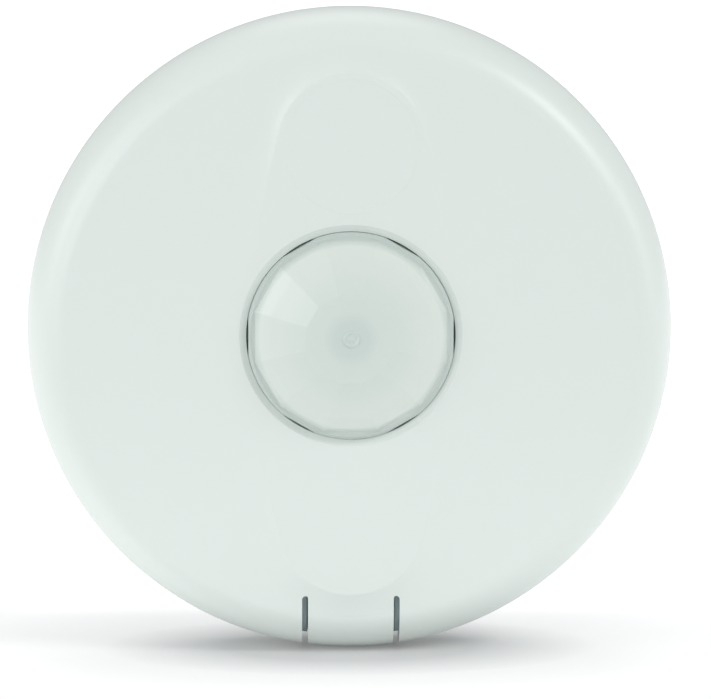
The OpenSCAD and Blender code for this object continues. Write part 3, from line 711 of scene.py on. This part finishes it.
# Lens. Milky infrared polyethylene, one thin moulding: a round skirt with six flats, twelve facets
# that rise in steps to a flat middle, and the small scar of the moulding gate at its crown.
LENS_R = 19.2
LENS_WALL = 0.7
FLANGE_R = 21.6
FLANGE = FACE - WALL - 1.2
FLAT_DEPTH = 0.32
FACETS = 12
EDGE_RADII = [18.3, 17.7, 15.5, 8.4, 4.5]
EDGE_HEIGHTS = [0.9, 1.5, 2.4, 4.5, 4.85]
NEAR_EDGE = 0.04
INNER_R = LENS_R - 1.6

facet_half = math.pi / FACETS
in_facet = np.radians([-15, -14.2, -12.4, -10.5, -8, -4, 0, 4, 8, 10.5, 12.4, 14.2])
around = (np.arange(FACETS)[:, None] * 2 * facet_half + in_facet).ravel()
from_middle = np.tile(in_facet, FACETS)


def twelve_sided(radius):
    """Distance to a regular twelve-sided outline with the given corner radius, along each column."""
    return radius * math.cos(facet_half) / np.cos(from_middle)


def with_flats(radius):
    """Circle cut by six straight flats, one in every second facet."""
    has_flat = np.repeat(np.arange(FACETS) % 2 == 0, len(in_facet))
    flat = (LENS_R - FLAT_DEPTH) / np.cos(from_middle)
    return np.where(has_flat, np.minimum(radius, flat), radius)


# Rings from the crown outwards: the facets with extra rings close to each of their edges, the foot,
# the skirt with its flats, and the flange that the retainer holds
lens_rings, lens_heights = [0 * around], [FACE + EDGE_HEIGHTS[-1]]
for k in range(len(EDGE_RADII) - 1, -1, -1):
    radius, rise = EDGE_RADII[k], EDGE_HEIGHTS[k]
    if k < len(EDGE_RADII) - 1:
        inner_r, inner_h = EDGE_RADII[k + 1], EDGE_HEIGHTS[k + 1]
        for share in (NEAR_EDGE, 0.35, 0.65, 1 - NEAR_EDGE):
            lens_rings.append(twelve_sided(inner_r + share * (radius - inner_r)))
            lens_heights.append(FACE + inner_h + share * (rise - inner_h))
    else:
        for inward in (0.5, 0.2):
            lens_rings.append(twelve_sided(radius - inward))
            lens_heights.append(FACE + rise)
    lens_rings.append(twelve_sided(radius))
    lens_heights.append(FACE + rise)
facet_rings = len(lens_rings)
foot = [(LENS_R - 0.6, 0.9), (LENS_R - 0.5, 0.7), (LENS_R - 0.1, 0.0), (LENS_R, -0.2), (LENS_R, -1.0)]
for radius, rise in foot:
    lens_rings.append(with_flats(radius + 0 * around))
    lens_heights.append(FACE + rise)
flange = [(LENS_R, 0.95), (FLANGE_R - 0.2, 0.9), (FLANGE_R, 0.75), (FLANGE_R, 0.0)]
for radius, rise in flange:
    lens_rings.append(radius + 0 * around)
    lens_heights.append(FLANGE + rise)
lens_ring = np.array(lens_rings)
lens_height = np.repeat(np.array(lens_heights)[:, None], len(around), 1)

# The inside is a wall's thickness below the facets, and falls evenly to the flange behind the skirt
lens_inner = np.clip(lens_ring - LENS_WALL, 0, INNER_R)
inner_height = lens_height - LENS_WALL
inner_fall = np.linspace(inner_height[facet_rings - 1, 0], FLANGE, len(lens_rings) - facet_rings + 1)
inner_height[facet_rings:] = inner_fall[1:, None]
lens = shell(
    "lens_dome",
    stand(lens_ring * np.cos(around), lens_ring * np.sin(around), lens_height),
    stand(lens_inner * np.cos(around), lens_inner * np.sin(around), inner_height),
    np.ones((len(lens_ring) - 1, len(around)), bool),
    open_centre=False,
)

# Painted shade in the opaque lens's colour, by distance from its middle: darkest in the thin middle, where
# the dark inside would show through translucent plastic, rising towards the outer facets, and a dark band
# of painted shade at the skirt's steep edge, which stands in shade.
LENS_TINTS_WITH_PAINTED_SHADE = [
    (3.2, (0.600, 0.690, 0.655)),
    (5.2, (0.668, 0.738, 0.694)),
    (9.0, (0.673, 0.750, 0.698)),
    (13.0, (0.710, 0.775, 0.722)),
    (16.8, (0.720, 0.785, 0.732)),
    (18.3, (0.540, 0.610, 0.575)),
]
lens_white, nodes, links = new_material("lens_white")
shader = nodes.new("ShaderNodeBsdfPrincipled")
shader.inputs["Roughness"].default_value = 0.30
shader.inputs["IOR"].default_value = 1.5
where = nodes.new("ShaderNodeTexCoord")
flatten = nodes.new("ShaderNodeVectorMath")
flatten.operation = "MULTIPLY"
flatten.inputs[1].default_value = (1 / MM, 0, 1 / MM)
reach = nodes.new("ShaderNodeVectorMath")
reach.operation = "LENGTH"
share = nodes.new("ShaderNodeMath")
share.operation = "DIVIDE"
share.inputs[1].default_value = LENS_TINTS_WITH_PAINTED_SHADE[-1][0]
tint_with_painted_shade = nodes.new("ShaderNodeValToRGB")
tint_with_painted_shade.color_ramp.elements[0].position = LENS_TINTS_WITH_PAINTED_SHADE[0][0] / LENS_TINTS_WITH_PAINTED_SHADE[-1][0]
for radius, _ in LENS_TINTS_WITH_PAINTED_SHADE[1:-1]:
    tint_with_painted_shade.color_ramp.elements.new(radius / LENS_TINTS_WITH_PAINTED_SHADE[-1][0])
for element, (_, colour) in zip(tint_with_painted_shade.color_ramp.elements, LENS_TINTS_WITH_PAINTED_SHADE):
    element.color = (*colour, 1)
flow = nodes.new("ShaderNodeTexNoise")
flow.inputs["Scale"].default_value = 260
flow.inputs["Detail"].default_value = 3
bump = nodes.new("ShaderNodeBump")
bump.inputs["Strength"].default_value = 0.12
bump.inputs["Distance"].default_value = 0.0001
out = nodes.new("ShaderNodeOutputMaterial")
links.new(where.outputs["Object"], flatten.inputs[0])
links.new(flatten.outputs["Vector"], reach.inputs[0])
links.new(reach.outputs["Value"], share.inputs[0])
links.new(share.outputs["Value"], tint_with_painted_shade.inputs["Fac"])
links.new(tint_with_painted_shade.outputs["Color"], shader.inputs["Base Color"])
links.new(where.outputs["Object"], flow.inputs["Vector"])
links.new(flow.outputs["Fac"], bump.inputs["Height"])
links.new(bump.outputs["Normal"], shader.inputs["Normal"])
links.new(shader.outputs["BSDF"], out.inputs["Surface"])
lens.data.materials.append(lens_white)
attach(lens, "cover")
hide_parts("lens")

# Gate scar: a small knob inside a raised ring, as distances from the middle and rises above the crown.
# Its flat underside is a little narrower.
GATE_SIDES = 32
GATE_UNDERSIDE = 0.98
GATE_R = [0, 0.25, 0.45, 0.6, 0.85, 1.1, 1.3, 1.5, 1.65]
GATE_RISE = [0.2, 0.19, 0.13, 0.04, 0.02, 0.1, 0.2, 0.14, -0.1]

gate_turn = np.linspace(0, 2 * np.pi, GATE_SIDES, endpoint=False)
gate_r = np.array(GATE_R)[:, None]
gate_x, gate_y = gate_r * np.cos(gate_turn), gate_r * np.sin(gate_turn)
gate_h = FACE + EDGE_HEIGHTS[-1] + np.array(GATE_RISE)[:, None]
gate = shell(
    "lens_gate_scar",
    stand(gate_x, gate_y, gate_h),
    stand(GATE_UNDERSIDE * gate_x, GATE_UNDERSIDE * gate_y, gate_h[-1]),
    np.ones((len(gate_r) - 1, len(gate_turn)), bool),
    open_centre=False,
)
gate.data.materials.append(lens_white)
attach(gate, "cover")

# Retainer and seal behind the lens. The retainer is a white moulded ring pushed under the six hooks,
# and the seal is a ring of dark foam that keeps insects away from the sensor.
dress("lens_retainer", moulded("retainer_white", (0.80, 0.82, 0.80), 0.5), 0.15)
foam, nodes, links = new_material("foam")
shader = nodes.new("ShaderNodeBsdfPrincipled")
shader.inputs["Roughness"].default_value = 0.9
where = nodes.new("ShaderNodeTexCoord")
cells = nodes.new("ShaderNodeTexVoronoi")
cells.inputs["Scale"].default_value = 1600
shade = nodes.new("ShaderNodeValToRGB")
shade.color_ramp.elements[0].color = (0.03, 0.03, 0.033, 1)
shade.color_ramp.elements[1].color = (0.14, 0.14, 0.15, 1)
bump = nodes.new("ShaderNodeBump")
bump.inputs["Distance"].default_value = 0.0003
out = nodes.new("ShaderNodeOutputMaterial")
links.new(where.outputs["Object"], cells.inputs["Vector"])
links.new(cells.outputs["Distance"], shade.inputs["Fac"])
links.new(shade.outputs["Color"], shader.inputs["Base Color"])
links.new(cells.outputs["Distance"], bump.inputs["Height"])
links.new(bump.outputs["Normal"], shader.inputs["Normal"])
links.new(shader.outputs["BSDF"], out.inputs["Surface"])
dress("cover_seal", foam, 0.2)

# Tray. One white moulding screwed to the ceiling: floor with posts, wall with the hinge ears, and the
# thin keeper that the latch snaps under.
tray_plastic = moulded("tray_plastic", (0.66, 0.71, 0.695), 0.55, grain=0.5, grain_size=900)
dress("base_tray", tray_plastic)
dress("tray_wall", tray_plastic)
dress("latch_keeper", tray_plastic)

# Grommet. A ring of dark soft rubber, pushed into the cable hole in the tray's floor, where it keeps
# the cable off the hole's edge.
rubber = moulded("grommet_rubber", (0.045, 0.047, 0.05), 0.75, grain=0.8, grain_size=700)
dress("cable_grommet", rubber, 0.2)

# Circuit board. Glass laminate with green solder mask, held by two screws. Bundles of parallel tracks,
# some along the board and some across it, show as lighter and slightly raised lines under the mask.
BUNDLE_CELLS = 95
TRACKS_PER_METRE = 170

board_green, nodes, links = new_material("board_green")
shader = nodes.new("ShaderNodeBsdfPrincipled")
shader.inputs["Roughness"].default_value = 0.33
shader.inputs["Coat Weight"].default_value = 0.3
where = nodes.new("ShaderNodeTexCoord")
cells = nodes.new("ShaderNodeTexVoronoi")
cells.distance = "CHEBYCHEV"
cells.inputs["Scale"].default_value = BUNDLE_CELLS
chance = nodes.new("ShaderNodeSeparateColor")
turned = nodes.new("ShaderNodeMath")
turned.operation = "GREATER_THAN"
turned.inputs[1].default_value = 0.5
present = nodes.new("ShaderNodeMath")
present.operation = "GREATER_THAN"
present.inputs[1].default_value = 0.3
lines = []
for direction in ("X", "Z"):
    band = nodes.new("ShaderNodeTexWave")
    band.bands_direction = direction
    band.inputs["Scale"].default_value = TRACKS_PER_METRE
    lines.append(band)
chosen = nodes.new("ShaderNodeMix")
is_track = nodes.new("ShaderNodeMath")
is_track.operation = "GREATER_THAN"
is_track.inputs[1].default_value = 0.62
shown = nodes.new("ShaderNodeMath")
shown.operation = "MULTIPLY"
mask = nodes.new("ShaderNodeValToRGB")
mask.color_ramp.elements[0].color = (0.014, 0.088, 0.034, 1)
mask.color_ramp.elements[1].color = (0.035, 0.19, 0.07, 1)
bump = nodes.new("ShaderNodeBump")
bump.inputs["Strength"].default_value = 0.5
bump.inputs["Distance"].default_value = 0.00004
out = nodes.new("ShaderNodeOutputMaterial")
links.new(where.outputs["Object"], cells.inputs["Vector"])
links.new(cells.outputs["Color"], chance.inputs["Color"])
links.new(chance.outputs["Red"], turned.inputs[0])
links.new(chance.outputs["Green"], present.inputs[0])
links.new(turned.outputs["Value"], chosen.inputs["Factor"])
for band, socket in zip(lines, ("A", "B")):
    links.new(where.outputs["Object"], band.inputs["Vector"])
    links.new(band.outputs["Fac"], chosen.inputs[socket])
links.new(chosen.outputs["Result"], is_track.inputs[0])
links.new(is_track.outputs["Value"], shown.inputs[0])
links.new(present.outputs["Value"], shown.inputs[1])
links.new(shown.outputs["Value"], mask.inputs["Fac"])
links.new(mask.outputs["Color"], shader.inputs["Base Color"])
links.new(shown.outputs["Value"], bump.inputs["Height"])
links.new(bump.outputs["Normal"], shader.inputs["Normal"])
links.new(shader.outputs["BSDF"], out.inputs["Surface"])
dress("circuit_board", board_green)


SCRATCH_SPREAD = 0.1
SCRATCH_SIZE = 900


def metal(name, colour, roughness):
    """Bare or plated metal with fine uneven polish."""
    material, nodes, links = new_material(name)
    shader = nodes.new("ShaderNodeBsdfPrincipled")
    shader.inputs["Base Color"].default_value = (*colour, 1)
    shader.inputs["Metallic"].default_value = 1
    where = nodes.new("ShaderNodeTexCoord")
    noise = nodes.new("ShaderNodeTexNoise")
    noise.inputs["Scale"].default_value = SCRATCH_SIZE
    noise.inputs["Detail"].default_value = 4
    polish = nodes.new("ShaderNodeMapRange")
    polish.inputs["To Min"].default_value = roughness - SCRATCH_SPREAD
    polish.inputs["To Max"].default_value = roughness + SCRATCH_SPREAD
    out = nodes.new("ShaderNodeOutputMaterial")
    links.new(where.outputs["Object"], noise.inputs["Vector"])
    links.new(noise.outputs["Fac"], polish.inputs["Value"])
    links.new(polish.outputs["Result"], shader.inputs["Roughness"])
    links.new(shader.outputs["BSDF"], out.inputs["Surface"])
    return material


steel = metal("zinc_plated_steel", (0.60, 0.60, 0.61), 0.32)
dress("board_screws", steel, 0.1)

# Sensor. A nickel-plated can with a dark silicon window, on gold-plated pins in a plastic ring, with
# a white moulded guard round it that keeps insects out.
dress("sensor_holder", moulded("holder_cream", (0.82, 0.80, 0.74), 0.5), 0.12)
dress("sensor_can", metal("can_nickel", (0.64, 0.65, 0.66), 0.22), 0.12)
dress("sensor_window", moulded("silicon_window", (0.02, 0.017, 0.024), 0.12, grain=0, coat=0.6))
gold = metal("gold_plate", (0.80, 0.60, 0.26), 0.25)
dress("sensor_pins", gold)
dress("insect_guard", moulded("guard_white", (0.83, 0.84, 0.82), 0.45), 0.15)

# Terminal block. A green moulded housing, soldered to the board by its contacts, with six slotted
# screws that draw up the clamps under them.
TERMINALS = 6

dress("terminal_block", moulded("terminal_green", (0.02, 0.21, 0.14), 0.42), 0.12)
tin = metal("tinned", (0.72, 0.72, 0.71), 0.3)
dress("terminal_contacts", tin)
for way in range(1, TERMINALS + 1):
    dress(f"terminal_screw_{way}", steel, 0.08)
    dress(f"wire_clamp_{way}", gold, 0.06)

# Board parts. Relay, capacitors in their sleeves, the microcontroller, chips, lamp and the rest, all
# soldered to the board.
dress("relay", moulded("relay_cream", (0.80, 0.75, 0.60), 0.35), 0.2)
dress("relay_pins", tin)
dress("electrolytic_capacitors", metal("capacitor_top", (0.74, 0.75, 0.76), 0.28))
dress("capacitor_sleeves", moulded("capacitor_sleeve", (0.012, 0.018, 0.055), 0.25, grain=0.1), 0.05)
dress("microcontroller", moulded("chip_black", (0.016, 0.016, 0.018), 0.6), 0.15)
dress("microcontroller_leads", tin)
dress("chip_resistors", moulded("resistor_black", (0.018, 0.018, 0.02), 0.4), 0.05)
dress("chip_capacitors", moulded("capacitor_tan", (0.45, 0.32, 0.19), 0.5), 0.08)
dress("resonator", metal("resonator_can", (0.70, 0.70, 0.69), 0.22), 0.25)
dress("surge_varistor", moulded("varistor_lacquer", (0.02, 0.10, 0.36), 0.28, grain=0.1, coat=0.4), 0.8)

lamp_red, nodes, links = new_material("lamp_red")
shader = nodes.new("ShaderNodeBsdfPrincipled")
shader.inputs["Base Color"].default_value = (0.70, 0.04, 0.03, 1)
shader.inputs["Roughness"].default_value = 0.08
shader.inputs["Transmission Weight"].default_value = 0.5
shader.inputs["IOR"].default_value = 1.5
out = nodes.new("ShaderNodeOutputMaterial")
links.new(shader.outputs["BSDF"], out.inputs["Surface"])
dress("walk_test_led", lamp_red)

dress("trimmer_body", moulded("trimmer_blue", (0.02, 0.12, 0.42), 0.4), 0.12)
dress("trimmer_rotor", moulded("rotor_cream", (0.85, 0.83, 0.76), 0.4), 0.08)
header_black = moulded("header_black", (0.015, 0.015, 0.017), 0.5)
dress("jumper_header_led", header_black, 0.1)
dress("jumper_header_range", header_black, 0.1)
dress("jumper_cap_led", moulded("cap_red", (0.50, 0.02, 0.015), 0.4), 0.12)
dress("jumper_cap_range", moulded("cap_black", (0.02, 0.02, 0.022), 0.4), 0.12)
dress("jumper_pins", gold)

# Tamper switch. A small black moulded body soldered to the board, with a red plunger that a spring of
# steel wire pushes out as the cover opens.
SPRING_TURNS = 4
SPRING_R = 2.0
SPRING_WIRE = 0.2
BOARD_TOP = 8.6
SPRING_SEAT = 4.7
PLUNGER_HEAD = 1.65

spring_low = BOARD_TOP + SPRING_SEAT
spring_high = TAMPER_TOP - PLUNGER_HEAD


def coil(turns, radius, wire, low, high, steps=24, sides=10):
    """Wire of a round section carried along a helix: the section's angle b moves a point out along
    the radius by wire cos b and up by wire sin b."""
    a = np.linspace(0, turns * 2 * np.pi, turns * steps + 1)[:, None]
    b = np.linspace(0, 2 * np.pi, sides, endpoint=False)[None]
    reach = radius + wire * np.cos(b)
    x, y = reach * np.cos(a), reach * np.sin(a)
    z = low + (high - low) * a / a[-1] + wire * np.sin(b)
    return x, y, z


x, y, z = coil(SPRING_TURNS, SPRING_R, SPRING_WIRE, spring_low, spring_high)
number = np.arange(x.size).reshape(x.shape)
after = np.roll(number, -1, 1)
along = np.stack([number[:-1], number[1:], after[1:], after[:-1]], -1).reshape(-1, 4)
spring = surface("tamper_coil", stand(x, y + TAMPER_Y, z).reshape(-1, 3), along, crease=60)
spring.data.materials.append(steel)
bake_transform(spring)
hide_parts("tamper_spring")
dress("tamper_switch", header_black, 0.12)
dress("tamper_terminals", tin)
dress("tamper_plunger", moulded("plunger_red", (0.62, 0.08, 0.03), 0.4), 0.12)
